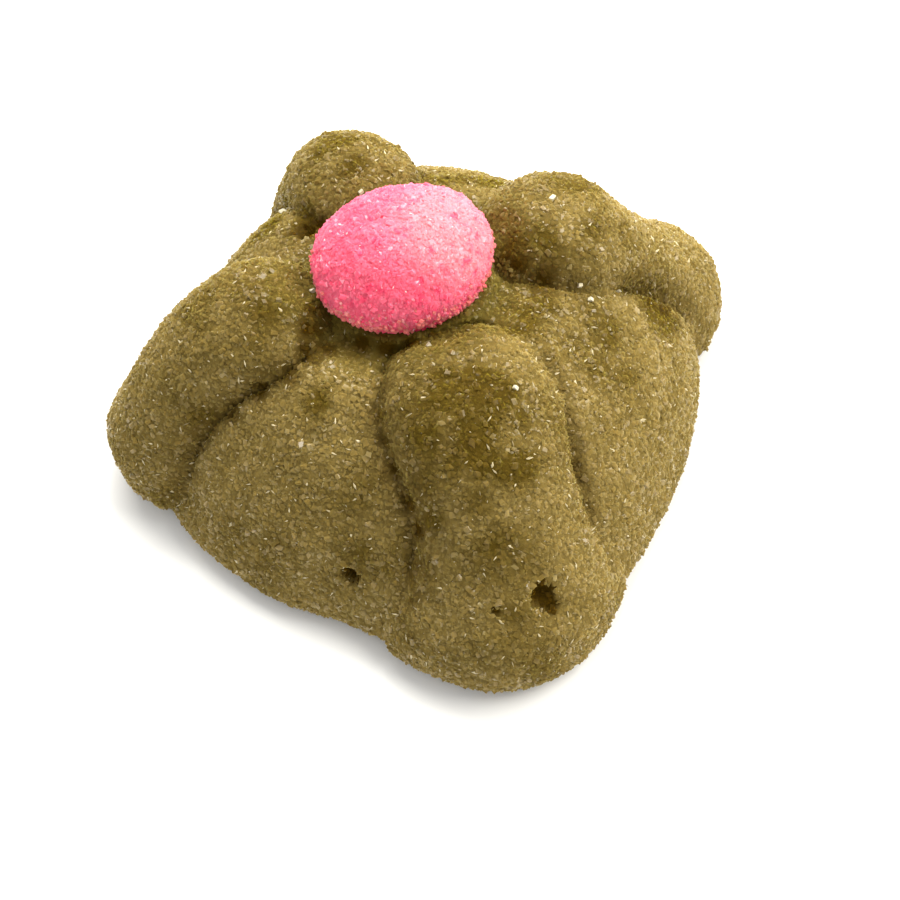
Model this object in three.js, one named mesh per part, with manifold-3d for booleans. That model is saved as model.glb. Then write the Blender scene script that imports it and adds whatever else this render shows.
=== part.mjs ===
// A sugar-coated gummy sweet, moulded like a small round festive loaf: a low
// dome, four bone-like ridges that run from its middle to its corners, and a
// pink knob on a flat seat at the top.
// Lengths are in millimetres and +Z is up. The flat underside lies at z = 0,
// and the middle of the sweet's outline is at x = 0, y = 0.

import * as THREE from 'three';
import { mergeVertices } from 'three/addons/utils/BufferGeometryUtils.js';
import Module from 'manifold-3d';

// Every point of the brown surface lies on a straight ray from the core, a
// point inside the dome. The surface is given as a distance along that ray.
const core = new THREE.Vector3(-0.5, 0.85, 4);

// The dome and the lower, squarer skirt at its foot, both measured round the
// core. The squareness is the exponent of the plan, 2 for a circle, and the
// corners point along the ridges. Close to the floor the wall is tucked in.
const dome = { reach: 16.1, height: 13, squareness: 2.3 };
const skirt = { reach: 15, height: 7.6, squareness: 3.5 };
const skirtBlend = 1.5;
const undersideEdge = 1.4;
const tuck = { depth: 0.7, height: 1.6 };

// The underside is flat in its middle. Its rim touches the floor at the feet of
// the four ridges and rises a hair between them.
const undersideRim = { start: 9, width: 7, rise: 0.25 };

// Each ridge is a bone: a knuckle at its head, a waist and a thicker foot. The
// places of head and foot are given from the core in plan, and from the floor
// in height. The arch lifts the waist and the sway bows it to one side.
const ridges = [
  {
    head: [-1.1, -6.95, 9.5],
    foot: [-2.6, -14.4, 2.4],
    radius: { head: 5.2, waist: 5, foot: 6 },
    arch: 1.4,
    sway: 0.45,
    flatness: 0.75,
  },
  {
    head: [8.4, 0.8, 10.4],
    foot: [15.25, 0.9, 2.3],
    radius: { head: 4.6, waist: 3.75, foot: 4.85 },
    arch: 0.95,
    sway: -0.6,
    flatness: 0.76,
  },
  {
    head: [0.2, 9.6, 9.3],
    foot: [0.2, 14.9, 3.4],
    radius: { head: 4, waist: 3.9, foot: 4.2 },
    arch: 1.8,
    sway: 0,
    flatness: 0.82,
  },
  {
    head: [-9, 3, 10.2],
    foot: [-15.3, 3.4, 3.4],
    radius: { head: 4.2, waist: 4, foot: 4.2 },
    arch: 1.1,
    sway: -0.3,
    flatness: 0.79,
  },
];
const beadsPerRidge = 24;

// A ridge meets the dome in a sharp crease high up and melts into it lower
// down, below the fading height.
const ridgeBlend = 0.6;
const ridgeBlendAtFloor = 6.5;
const fadingHeight = 6;
const crease = { depth: 0.5, width: 0.6 };
const shoulder = { depth: 0.25, width: 1.6, fullCover: 4 };

// The knob, its flat seat and the moat round it. The knob's middle is given
// from the core in plan and from the floor in height.
const knob = { middle: [-0.65, 1.5, 13.4], halfWidth: 5.15, halfDepth: 4.6, halfHeight: 3.2 };
const seatHeight = 12;
const seatRadius = 5;
const seatRimRise = 1.2;
const moat = { radius: 6.2, width: 1.3, depth: 1.2 };

// Places where a crease is filled and the surface swells, placed as the ridges are.
const swells = [
  { at: [2.3, -6, 12], width: 2.6, rise: 0.35 },
  { at: [2.6, -9.6, 11.2], width: 2.2, rise: 0.2 },
  { at: [2.2, -17, 5.2], width: 3, rise: 0.5 },
  { at: [-8.7, -13.6, 1.6], width: 2.6, rise: 0.8 },
  { at: [-13.8, -8.6, 0.8], width: 3.5, rise: 0.35 },
  { at: [3.9, -16.4, 2.6], width: 2.2, rise: 0.4 },
  { at: [-3.9, 10.6, 9.4], width: 3.2, rise: 0.3 },
  { at: [9, -4.4, 10.8], width: 2.4, rise: 0.25 },
];

// Burst bubbles and dimples in the surface, placed as the ridges are.
const pits = [
  { at: [-1.8, -18, 6.5], radius: 0.8 },
  { at: [-1.5, -18.5, 6], radius: 0.6 },
  { at: [-10.2, -11.1, 4.5], radius: 0.58 },
  { at: [-4.1, 8.2, 10.6], radius: 0.6 },
  { at: [-4.1, -17.6, 6.3], radius: 0.35 },
];

// The sugar: an uneven coat over everything, with the largest crystals loose
// on top of it and fused to what they lie on.
const coatRoughness = 0.12;
const coatStartHeight = 1.1;
const coatStartRadius = 6.5;
const coatSeed = 20;
const bodyCrystals = { count: 110, smallest: 0.55, largest: 0.95, lowestRay: -0.2, keepsOff: true };
const knobCrystals = { count: 30, smallest: 0.45, largest: 0.75, lowestRay: 0.05, keepsOff: false };
const crystalSunkShare = 0.12;

// How finely the smooth shapes are divided.
const bodyColumns = 112;
const bodyRows = 34;
const undersideRows = 6;
const undersideStart = 1.95;
const knobColumns = 36;
const knobRows = 13;
const flatTolerance = 1e-4;

const wasm = await Module();
wasm.setup();

// A repeatable stream of numbers between 0 and 1.
function makeRandom(seed) {
  let state = seed;
  return () => {
    state = (state * 1664525 + 1013904223) % 4294967296;
    return state / 4294967296;
  };
}

// The larger of two distances, with the corner between them rounded.
function softMax(a, b, blend) {
  const share = THREE.MathUtils.clamp(0.5 + (0.5 * (a - b)) / blend, 0, 1);
  return b + (a - b) * share + blend * share * (1 - share);
}

function softMin(a, b, blend) {
  return -softMax(-a, -b, blend);
}

// A bump of height 1 that falls away on both sides of 0.
function bell(distance, width) {
  return Math.exp(-((distance / width) ** 2));
}

// Distance to a mound whose plan is a squarish oval and whose profile is half
// an ellipse standing on the floor.
function moundReach(ray, mound) {
  const u = Math.abs(ray.x + ray.y) / Math.SQRT2;
  const v = Math.abs(ray.x - ray.y) / Math.SQRT2;
  const n = mound.squareness;
  const plan = (u ** n + v ** n) ** (1 / n) / mound.reach;
  const rise = ray.z / mound.height;
  const start = core.z / mound.height;
  const a = plan * plan + rise * rise;
  const b = rise * start;
  return (-b + Math.sqrt(b * b + a * (1 - start * start))) / a;
}

// Distance to the far side of a ridge, a row of flattened balls. The cover
// says how deep inside the ridge the ray runs, and is 0 where it misses.
function ridgeReach(ray, ridge) {
  const runX = ridge.foot[0] - ridge.head[0];
  const runY = ridge.foot[1] - ridge.head[1];
  const runZ = ridge.foot[2] - ridge.head[2];
  const run = Math.hypot(runX, runY);
  let reach = -Infinity;
  let cover = 0;
  for (let bead = 0; bead < beadsPerRidge; bead += 1) {
    const s = bead / (beadsPerRidge - 1);
    const bow = 4 * s * (1 - s);
    const x = ridge.head[0] + runX * s - (runY / run) * ridge.sway * bow;
    const y = ridge.head[1] + runY * s + (runX / run) * ridge.sway * bow;
    const z = ridge.head[2] + runZ * s + ridge.arch * bow - core.z;
    const ends = ridge.radius.head * (1 - s) + ridge.radius.foot * s;
    const wide = ends * (1 - bow) + ridge.radius.waist * bow;
    const tall = wide * ridge.flatness;
    const a = (ray.x ** 2 + ray.y ** 2) / wide ** 2 + (ray.z / tall) ** 2;
    const b = (ray.x * x + ray.y * y) / wide ** 2 + (ray.z * z) / tall ** 2;
    const c = (x * x + y * y) / wide ** 2 + (z / tall) ** 2 - 1;
    const room = b * b - a * c;
    if (room > 0) {
      reach = Math.max(reach, (b + Math.sqrt(room)) / a);
      cover = Math.max(cover, room / a);
    }
  }
  return { reach, cover };
}

// The seat is flat under the knob and turns up at its rim, and nothing of the
// brown sweet rises above it there.
function seatReach(ray) {
  const up = Math.max(ray.z, 0.05);
  const flat = (seatHeight - core.z) / up;
  const fromAxis = Math.hypot(flat * ray.x - knob.middle[0], flat * ray.y - knob.middle[1]);
  const rim = Math.max(fromAxis - seatRadius, 0);
  return flat + (seatRimRise * rim * rim) / up;
}

// Distance down to the underside.
function undersideReach(ray) {
  if (ray.z > -0.001) return Infinity;
  const out = (core.z * Math.hypot(ray.x, ray.y)) / -ray.z;
  const rim = THREE.MathUtils.clamp((out - undersideRim.start) / undersideRim.width, 0, 1);
  const betweenFeet = Math.sin(2 * Math.atan2(ray.y, ray.x)) ** 2;
  return (core.z - undersideRim.rise * rim * betweenFeet) / -ray.z;
}

function bodyReach(ray) {
  let reach = softMax(moundReach(ray, dome), moundReach(ray, skirt), skirtBlend);
  const fromKnob = Math.hypot(reach * ray.x - knob.middle[0], reach * ray.y - knob.middle[1]);
  const upward = THREE.MathUtils.clamp(ray.z * 3, 0, 1);
  reach -= moat.depth * upward * bell(fromKnob - moat.radius, moat.width);

  const hits = ridges.map((ridge) => ridgeReach(ray, ridge));
  const ridgeTop = Math.max(...hits.map((hit) => hit.reach));
  const cover = Math.max(...hits.map((hit) => hit.cover));
  const height = core.z + reach * ray.z;
  const low = THREE.MathUtils.clamp(1 - height / fadingHeight, 0, 1);
  const blend = ridgeBlend + (ridgeBlendAtFloor - ridgeBlend) * low;
  const gap = ridgeTop - reach;
  reach = softMax(reach, Math.max(ridgeTop, reach - ridgeBlendAtFloor), blend);
  const place = [reach * ray.x, reach * ray.y, core.z + reach * ray.z];
  let open = 1 - low;
  for (const swell of swells) {
    const [x, y, z] = swell.at;
    const near = bell(Math.hypot(place[0] - x, place[1] - y, place[2] - z), swell.width);
    open = Math.min(open, 1 - near);
    reach += swell.rise * near;
  }
  const nearRidge = THREE.MathUtils.clamp(cover / shoulder.fullCover, 0, 1);
  reach -= crease.depth * open * bell(gap, crease.width);
  reach -= shoulder.depth * open * nearRidge * bell(gap, shoulder.width);

  const tucked = THREE.MathUtils.clamp(1 - (core.z + reach * ray.z) / tuck.height, 0, 1);
  reach -= tuck.depth * tucked * tucked;
  reach = Math.min(reach, seatReach(ray));
  return softMin(reach, Math.min(undersideReach(ray), reach + undersideEdge), undersideEdge);
}

function bodyPoint(ray) {
  return ray.clone().multiplyScalar(bodyReach(ray)).add(core);
}

function knobPoint(ray) {
  const { middle, halfWidth, halfDepth, halfHeight } = knob;
  const point = new THREE.Vector3(ray.x * halfWidth, ray.y * halfDepth, ray.z * halfHeight);
  return point.add(new THREE.Vector3(core.x + middle[0], core.y + middle[1], middle[2]));
}

// The seat and the lowest rim of the brown sweet carry no loose sugar.
function isCoated(point) {
  const fromKnob = Math.hypot(
    point.x - core.x - knob.middle[0],
    point.y - core.y - knob.middle[1],
  );
  return point.z > coatStartHeight && fromKnob > coatStartRadius;
}

// A closed mesh as a solid that can be joined and cut, and back again.
function toSolid(geometry) {
  geometry.deleteAttribute('normal');
  geometry.deleteAttribute('uv');
  const merged = mergeVertices(geometry);
  const mesh = new wasm.Mesh({
    numProp: 3,
    vertProperties: merged.attributes.position.array,
    triVerts: new Uint32Array(merged.index.array),
  });
  return new wasm.Manifold(mesh);
}

function toGeometry(solid) {
  const mesh = solid.getMesh();
  const geometry = new THREE.BufferGeometry();
  geometry.setAttribute('position', new THREE.BufferAttribute(mesh.vertProperties, 3));
  geometry.setIndex(new THREE.BufferAttribute(mesh.triVerts, 1));
  geometry.computeVertexNormals();
  return geometry;
}

// A ball of unit radius with its poles on the Z axis and no doubled points.
function unitBall(columns, rows) {
  const ball = new THREE.SphereGeometry(1, columns, rows);
  ball.rotateX(Math.PI / 2);
  ball.deleteAttribute('normal');
  ball.deleteAttribute('uv');
  return mergeVertices(ball);
}

// Most rows of the ball go to the shown surface, and few to the underside.
function spreadPolar(polar) {
  const row = (polar / Math.PI) * bodyRows;
  const shownRows = bodyRows - undersideRows;
  if (row <= shownRows) return (row / shownRows) * undersideStart;
  const share = (row - shownRows) / undersideRows;
  return undersideStart + share * (Math.PI - undersideStart);
}

function makeBodyShape() {
  const shape = unitBall(bodyColumns, bodyRows);
  const points = shape.attributes.position;
  const random = makeRandom(coatSeed);
  const ray = new THREE.Vector3();
  for (let i = 0; i < points.count; i += 1) {
    ray.fromBufferAttribute(points, i);
    const polar = spreadPolar(Math.acos(THREE.MathUtils.clamp(ray.z, -1, 1)));
    const turn = Math.atan2(ray.y, ray.x);
    const across = Math.sin(polar);
    ray.set(across * Math.cos(turn), across * Math.sin(turn), Math.cos(polar));
    const point = bodyPoint(ray);
    const bump = coatRoughness * (random() - 0.5);
    if (isCoated(point)) point.addScaledVector(ray, bump);
    if (Math.abs(point.z) < flatTolerance) point.z = 0;
    if (Math.abs(point.z - seatHeight) < flatTolerance) point.z = seatHeight;
    points.setXYZ(i, point.x, point.y, point.z);
  }
  return toSolid(shape);
}

// The knob is a squat ball with its underside cut flat at the seat.
function makeKnobShape() {
  const sunk = (knob.middle[2] - seatHeight) / knob.halfHeight;
  const lastAngle = Math.PI - Math.acos(sunk);
  const profile = [];
  for (let row = 0; row <= knobRows; row += 1) {
    const angle = (lastAngle * row) / knobRows;
    profile.push(new THREE.Vector2(Math.sin(angle), Math.cos(angle)));
  }
  profile[0].x = 0;
  profile.push(new THREE.Vector2(0, -sunk));
  const shape = new THREE.LatheGeometry(profile.reverse(), knobColumns);
  shape.rotateX(Math.PI / 2);
  shape.scale(knob.halfWidth, knob.halfDepth, knob.halfHeight);
  shape.translate(core.x + knob.middle[0], core.y + knob.middle[1], knob.middle[2]);
  const points = shape.attributes.position;
  for (let i = 0; i < points.count; i += 1) {
    if (Math.abs(points.getZ(i) - seatHeight) < flatTolerance) points.setZ(i, seatHeight);
  }
  return toSolid(shape);
}

// One crystal: a small block, turned at random, sunk a little at its place.
function makeCrystal(place, size, inward, random) {
  const width = size * (0.6 + 0.3 * random());
  const depth = size * (0.5 + 0.3 * random());
  const block = new THREE.BoxGeometry(size, width, depth);
  block.rotateX(random() * Math.PI);
  block.rotateY(random() * Math.PI);
  block.rotateZ(random() * Math.PI);
  const centre = place.clone().addScaledVector(inward, crystalSunkShare * size);
  block.translate(centre.x, centre.y, centre.z);
  return toSolid(block);
}

// Rays spread evenly over a ball by turns of the golden angle, from the top
// down, and each moved a little from its even place.
function scatteredRay(index, count, lowest, random) {
  const goldenTurn = Math.PI * (3 - Math.sqrt(5));
  const z = 1 - ((1 - lowest) * (index + 0.5)) / count;
  const turn = index * goldenTurn + 0.3 * random();
  const across = Math.sqrt(1 - z * z);
  return new THREE.Vector3(across * Math.cos(turn), across * Math.sin(turn), z);
}

function addCrystals(solid, crystals, pointOnRay, seed) {
  const random = makeRandom(seed);
  let coated = solid;
  for (let i = 0; i < crystals.count; i += 1) {
    const ray = scatteredRay(i, crystals.count, crystals.lowestRay, random);
    const place = pointOnRay(ray);
    const size = crystals.smallest + (crystals.largest - crystals.smallest) * random() ** 2;
    const crystal = makeCrystal(place, size, ray.negate(), random);
    if (!crystals.keepsOff || isCoated(place)) coated = coated.add(crystal);
  }
  return coated;
}

// Each pit is cut out with a small rough ball.
function cutPits(solid) {
  let pitted = solid;
  for (const pit of pits) {
    const ball = new THREE.IcosahedronGeometry(pit.radius, 1);
    ball.translate(core.x + pit.at[0], core.y + pit.at[1], pit.at[2]);
    pitted = pitted.subtract(toSolid(ball));
  }
  return pitted;
}

function makeGummyBody() {
  const material = new THREE.MeshStandardMaterial({ color: 0x8a7442, roughness: 0.7, metalness: 0 });
  const solid = addCrystals(cutPits(makeBodyShape()), bodyCrystals, bodyPoint, coatSeed + 1);
  const mesh = new THREE.Mesh(toGeometry(solid), material);
  mesh.name = 'gummy_body';
  return mesh;
}

function makePinkKnob() {
  const material = new THREE.MeshStandardMaterial({ color: 0xfa7896, roughness: 0.6, metalness: 0 });
  const solid = addCrystals(makeKnobShape(), knobCrystals, knobPoint, coatSeed + 2);
  const mesh = new THREE.Mesh(toGeometry(solid), material);
  mesh.name = 'pink_knob';
  return mesh;
}

const sweet = new THREE.Group();
sweet.add(makeGummyBody(), makePinkKnob());

export default sweet;
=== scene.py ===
import math

import bpy
import numpy as np
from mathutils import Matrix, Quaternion, Vector


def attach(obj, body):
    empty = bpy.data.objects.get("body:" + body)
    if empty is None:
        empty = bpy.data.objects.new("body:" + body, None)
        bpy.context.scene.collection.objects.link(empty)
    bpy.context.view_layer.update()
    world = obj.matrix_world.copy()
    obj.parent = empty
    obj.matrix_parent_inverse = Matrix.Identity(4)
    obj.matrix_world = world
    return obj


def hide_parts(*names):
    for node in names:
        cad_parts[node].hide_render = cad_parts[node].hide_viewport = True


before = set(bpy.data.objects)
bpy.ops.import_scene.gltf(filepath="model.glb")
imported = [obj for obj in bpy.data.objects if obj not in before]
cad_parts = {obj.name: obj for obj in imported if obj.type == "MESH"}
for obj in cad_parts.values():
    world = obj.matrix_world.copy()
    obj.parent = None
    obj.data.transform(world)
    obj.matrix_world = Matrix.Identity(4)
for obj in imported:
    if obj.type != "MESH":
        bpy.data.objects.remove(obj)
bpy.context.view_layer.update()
mm = 0.001
fullTurn = 2 * math.pi


# ---- helpers for numbers and meshes

def softMax(a, b, blend):
    # the larger of two distances, with the corner between them rounded
    share = np.clip(0.5 + 0.5 * (a - b) / blend, 0, 1)
    return b + (a - b) * share + blend * share * (1 - share)


def softMin(a, b, blend):
    # the smaller of two distances, rounded in the same way
    return -softMax(-a, -b, blend)


def bell(distance, width):
    # 1 at no distance, falling away on both sides as exp(-(distance / width) squared)
    return np.exp(-(distance / width) ** 2)


def easeStep(x, low, high):
    # 0 below low, 1 above high, with the cubic 3 t^2 - 2 t^3 between them
    t = np.clip((x - low) / (high - low), 0, 1)
    return t * t * (3 - 2 * t)


def rumple(points, cell, seed):
    # smooth chance values from -1 to 1: every corner of a lattice of cubes has its own value,
    # hashed from its place and the seed by large odd factors, and the eight round a point are
    # blended by cubic weights
    place = points / cell
    corner = np.floor(place).astype(np.int64)
    part = place - corner
    part = part * part * (3 - 2 * part)
    total = np.zeros(points.shape[:-1])
    for step in np.ndindex(2, 2, 2):
        at = corner + np.array(step)
        code = at[..., 0] * 73856093 ^ at[..., 1] * 19349663 ^ at[..., 2] * 83492791
        code = code ^ (seed * 40503 + 977)
        code = ((code & 0xffffffff) * 1274126177) & 0xffffffff
        code = ((code ^ (code >> 15)) * 2246822519) & 0xffffffff
        value = ((code ^ (code >> 13)) & 0xffff) / 32767.5 - 1
        total += value * np.prod(np.where(np.array(step) == 1, part, 1 - part), axis=-1)
    return total


def ballRays(turn, polar):
    # rays by their turn round the upright axis and their polar angle from it
    across = np.sin(polar)
    return np.stack([across * np.cos(turn), across * np.sin(turn), np.cos(polar)], axis=-1)


def rayGrid(columns, polarAngles):
    # every ray of a closed ball: a grid of columns by rows between the two poles
    turn = np.arange(columns) * (fullTurn / columns)
    return ballRays(*np.meshgrid(turn, polarAngles[1:-1]))


def gridTriangles(rows, columns):
    # a closed ball's triangles: two for each cell of the grid, and a fan at each pole,
    # whose points come after the grid's: first the top one, then the lowest
    row, column = np.meshgrid(np.arange(rows - 1), np.arange(columns), indexing="ij")
    a = row * columns + column
    b = row * columns + (column + 1) % columns
    cells = np.stack([a, a + columns, b, b, a + columns, b + columns], axis=-1).reshape(-1, 3)
    edge = np.arange(columns)
    after = (edge + 1) % columns
    last = (rows - 1) * columns
    top = np.stack([np.full(columns, rows * columns), edge, after], axis=-1)
    low = np.stack([np.full(columns, rows * columns + 1), last + after, last + edge], axis=-1)
    return np.concatenate([cells, top, low])


def gridNormals(points):
    # the upright of the surface at each grid point: across the columns by down the rows
    along = np.roll(points, -1, axis=1) - np.roll(points, 1, axis=1)
    down = np.gradient(points, axis=0)
    normal = np.cross(down, along)
    return normal / np.maximum(np.linalg.norm(normal, axis=-1, keepdims=True), 1e-9)


def meshPiece(name, points, triangles, material, smooth, marks):
    # a mesh in metres from points in millimetres; marks are its named values, one for each point
    mesh = bpy.data.meshes.new(name)
    mesh.vertices.add(len(points))
    mesh.vertices.foreach_set("co", (points * mm).ravel())
    mesh.loops.add(triangles.size)
    mesh.loops.foreach_set("vertex_index", triangles.ravel().astype(np.int32))
    mesh.polygons.add(len(triangles))
    mesh.polygons.foreach_set("loop_start", np.arange(0, triangles.size, 3, dtype=np.int32))
    mesh.polygons.foreach_set("use_smooth", np.full(len(triangles), smooth))
    mesh.update(calc_edges=True)
    for label, values in marks.items():
        mesh.attributes.new(label, "FLOAT", "POINT").data.foreach_set("value", values.ravel())
    mesh.materials.append(material)
    piece = bpy.data.objects.new(name, mesh)
    bpy.context.scene.collection.objects.link(piece)
    return piece


# ---- helpers for materials

class Wire:
    # a socket of a material; sums and products of wires and numbers add their Math nodes
    def __init__(self, tree, socket=None):
        self.tree = tree
        self.socket = socket

    def node(self, kind, settings, sockets, output=0):
        # adds any node: its settings first, then its sockets' values or links
        made = self.tree.nodes.new(kind)
        for name, value in settings.items():
            setattr(made, name, value)
        for name, value in sockets.items():
            if isinstance(value, Wire):
                self.tree.links.new(value.socket, made.inputs[name])
            else:
                made.inputs[name].default_value = value
        return Wire(self.tree, made.outputs[output])

    def math(self, operation, first, second):
        # adds one Math node
        return self.node("ShaderNodeMath", {"operation": operation}, {0: first, 1: second})

    def __add__(self, other):
        return self.math("ADD", self, other)

    def __radd__(self, other):
        return self.math("ADD", other, self)

    def __sub__(self, other):
        return self.math("SUBTRACT", self, other)

    def __rsub__(self, other):
        return self.math("SUBTRACT", other, self)

    def __mul__(self, other):
        return self.math("MULTIPLY", self, other)

    def clamped(self):
        # kept between 0 and 1
        return self.node("ShaderNodeClamp", {}, {"Value": self})

    def ramped(self, low, high):
        # 0 below low and 1 above high, straight between them
        sockets = {"Value": self, "From Min": low, "From Max": high}
        return self.node("ShaderNodeMapRange", {}, sockets)

    def mixed(self, first, second):
        # a colour that goes from the first to the second as this wire goes from 0 to 1
        sockets = {0: self.clamped(), 6: first, 7: second}
        return self.node("ShaderNodeMix", {"data_type": "RGBA"}, sockets, 2)

    def scaled(self, factor):
        # this colour made brighter or darker by a factor
        sockets = {"Vector": self, "Scale": factor}
        return self.node("ShaderNodeVectorMath", {"operation": "SCALE"}, sockets)


def colour(red, green, blue):
    # a solid colour, its three shares linear
    return (red, green, blue, 1.0)


def newFinish(name):
    # a material with its Principled shader, and a wire to build the rest with
    material = bpy.data.materials.new(name)
    material.use_nodes = True
    shader = material.node_tree.nodes["Principled BSDF"]
    return material, shader, Wire(material.node_tree)


def feed(shader, values):
    # sets the shader's own sockets, or links those whose value is a wire
    for name, value in values.items():
        if isinstance(value, Wire):
            value.tree.links.new(value.socket, shader.inputs[name])
        else:
            shader.inputs[name].default_value = value


def mark(wire, name):
    # a value that the mesh carries at its points, 0 where it carries none of that name
    return wire.node("ShaderNodeAttribute", {"attribute_name": name}, {}, "Fac")


def noise(wire, period, detail):
    # a cloudy pattern on Object coordinates, its blotches about one period across, in mm
    place = wire.node("ShaderNodeTexCoord", {}, {}, "Object")
    sockets = {"Vector": place, "Scale": 1 / (period * mm), "Detail": detail, "Roughness": 0.55}
    return wire.node("ShaderNodeTexNoise", {}, sockets, "Fac")


# ---- the studio: camera, light and floor

studio = {
    "cameraPlace": (-22.04, -52.46, 81.82),
    "cameraAim": (-0.951, -2.426, 0.0),
    "cameraRoll": -3.3,
    "lens": 63.48,
    "sensor": 36.0,
    "skyStrength": 0.95,
    "floorWidth": 3000.0,
    "floorColour": colour(0.74, 0.74, 0.73),
    "floorSpeckle": colour(0.76, 0.76, 0.75), "specklePeriod": 6.0, "floorRoughness": 0.9,
    # each lamp: its turn from the front towards the right and its height, in degrees, then its
    # distance and width in mm, its power and its colour; the small ones make the sugar glint
    "lamps": {
        "right_lamp": (72.0, 50.0, 260.0, 200.0, 0.80, (1.0, 0.97, 0.9)),
        "back_lamp": (168.0, 50.0, 260.0, 200.0, 0.78, (1.0, 0.97, 0.9)),
        "back_spark": (150.0, 62.0, 320.0, 44.0, 0.16, (1.0, 1.0, 1.0)),
        "left_spark": (-50.0, 42.0, 320.0, 26.0, 0.05, (1.0, 1.0, 1.0)),
    },
}


def makeCamera():
    # looks from its place at its aim, then rolls about that line
    camera = bpy.data.objects.new("camera", bpy.data.cameras.new("camera"))
    place = Vector(studio["cameraPlace"]) * mm
    aim = Vector(studio["cameraAim"]) * mm
    turned = (aim - place).to_track_quat("-Z", "Y")
    roll = Quaternion((0, 0, 1), math.radians(studio["cameraRoll"]))
    camera.location = place
    camera.rotation_euler = (turned @ roll).to_euler()
    camera.data.lens = studio["lens"]
    camera.data.sensor_width = studio["sensor"]
    camera.data.clip_start = 0.005
    camera.data.clip_end = 10
    bpy.context.scene.collection.objects.link(camera)
    bpy.context.scene.camera = camera


def makeLamp(name, turn, height, far, size, watts, tint):
    # a round lamp that faces the middle of the floor
    lamp = bpy.data.objects.new(name, bpy.data.lights.new(name, "AREA"))
    turn, height = math.radians(turn), math.radians(height)
    level = math.cos(height)
    away = Vector((math.sin(turn) * level, -math.cos(turn) * level, math.sin(height)))
    lamp.location = away * far * mm
    lamp.rotation_euler = (-away).to_track_quat("-Z", "Y").to_euler()
    lamp.data.shape = "DISK"
    lamp.data.size = size * mm
    lamp.data.energy = watts
    lamp.data.color = tint
    bpy.context.scene.collection.objects.link(lamp)


def makeStudio():
    # camera, lamps, an even sky and a pale floor
    makeCamera()
    for name, settings in studio["lamps"].items():
        makeLamp(name, *settings)
    sky = bpy.data.worlds.new("sky")
    sky.use_nodes = True
    sky.node_tree.nodes["Background"].inputs["Color"].default_value = colour(1, 1, 1)
    sky.node_tree.nodes["Background"].inputs["Strength"].default_value = studio["skyStrength"]
    bpy.context.scene.world = sky
    bpy.context.scene.view_settings.view_transform = "Standard"
    material, shader, wire = newFinish("floorPaint")
    cloud = noise(wire, studio["specklePeriod"], 2)
    speckle = cloud.mixed(studio["floorColour"], studio["floorSpeckle"])
    feed(shader, {"Base Color": speckle, "Roughness": studio["floorRoughness"]})
    half = studio["floorWidth"] / 2
    corners = np.array([[-half, -half, 0], [half, -half, 0], [half, half, 0], [-half, half, 0]])
    floor = meshPiece("floor", corners, np.array([[0, 1, 2], [0, 2, 3]]), material, False, {})
    print("studio made")


# ---- the brown sweet: dome, ridges, moat and seat, as in the frame

sweet = {
    "core": (-0.5, 0.85, 4.0),  # every point of the skin lies on a straight ray from here
    "dome": {"reach": 16.1, "height": 13.0, "squareness": 2.3},
    "skirt": {"reach": 15.0, "height": 7.6, "squareness": 3.5},
    "skirtBlend": 1.5,
    "undersideEdge": 1.4,
    "rimStart": 9.0, "rimWidth": 7.0, "rimRise": 0.25,
    "tuckDepth": 0.7, "tuckHeight": 1.6,
    "beadsPerRidge": 30,
    "ridgeBlend": 0.6, "ridgeBlendAtFloor": 6.5, "fadingHeight": 6.0,
    "creaseDepth": 0.5, "creaseWidth": 0.6,
    "shoulderDepth": 0.25, "shoulderWidth": 1.6, "shoulderFullCover": 4.0,
    "moatRadius": 6.2, "moatWidth": 1.3, "moatDepth": 1.2,
    "seatHeight": 12.0, "seatRadius": 5.0, "seatRimRise": 1.2,
    # painted shade: how dark creases and the moat are painted, and the cover past which a ridge fills the
    # moat
    "creaseShade": 0.45, "moatShade": 0.2, "moatCover": 3.0,
    # how finely the skin is divided
    "columns": 480, "rows": 190, "rowsBelow": 8, "shownPolar": 1.95,
}

# A ridge is a bone with a knuckle at its head, a waist and a foot; places are given
# from the core in plan and from the floor in height.
ridges = {
    "front": {"head": (-1.1, -6.95, 9.5), "foot": (-2.6, -14.4, 2.4), "radii": (5.2, 5.0, 6.0),
              "arch": 1.4, "sway": 0.45, "flatness": 0.75},
    "right": {"head": (8.4, 0.8, 10.4), "foot": (15.25, 0.9, 2.3), "radii": (4.6, 3.75, 4.85),
              "arch": 0.95, "sway": -0.6, "flatness": 0.76},
    "back": {"head": (0.2, 9.6, 9.3), "foot": (0.2, 14.9, 3.4), "radii": (4.0, 3.9, 4.2),
             "arch": 1.8, "sway": 0.0, "flatness": 0.82},
    "left": {"head": (-9.0, 3.0, 10.2), "foot": (-15.3, 3.4, 3.4), "radii": (4.2, 4.0, 4.2),
             "arch": 1.1, "sway": -0.3, "flatness": 0.79},
}

knob = {
    "middle": (-0.65, 1.5, 13.4), "halfWidth": 5.15, "halfDepth": 4.6, "halfHeight": 3.2,
    "columns": 220, "rows": 110,
    "lumpCell": 1.9, "lumpDepth": 0.12, "crustCell": 0.5, "crustDepth": 0.06,
    "chanceShift": 40.0,  # moves it to lumps of its own in the chance lattice
    "litPaleSide": (0.62, -0.3, 0.72), "litPaleSpan": (0.48, 0.95),  # the side that faces the right lamp, painted paler as painted light
    # heights above the seat: the clear foot's top, where the sugar starts and is full, and the
    # middle and width of the fringe, with the share of its colour that is its own
    "footTop": 1.6, "sugarHeights": (0.05, 0.4),
    "fringeHeight": 0.8, "fringeWidth": 0.7, "fringeTint": 0.75,
}

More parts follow.
